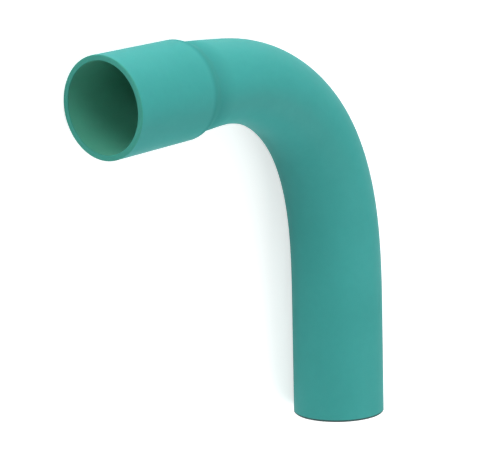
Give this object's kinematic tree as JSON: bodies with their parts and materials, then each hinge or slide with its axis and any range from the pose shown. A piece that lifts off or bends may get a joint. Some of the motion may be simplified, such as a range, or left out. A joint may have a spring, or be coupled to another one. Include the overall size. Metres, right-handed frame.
{
  "type": "conduit elbow",
  "caption": "Factory-bent 90 degree PVC conduit elbow with a formed socket at one end and a plain spigot at the other, for turning a cable run through a corner.",
  "frame": {"origin": "centre of the socket's mouth, on the tube's centreline", "axes": "-X out of the socket along its axis, -Y out of the spigot along its axis, +Z square to the plane of the bend, which is up when the elbow lies on its side"},
  "size_m": [0.1119, 0.1232, 0.0302],
  "materials": {
    "green_pvc": "satin, smooth extruded PVC"
  },
  "bodies": {
    "root": {"elbow": "green_pvc"}
  },
  "joints": []
}
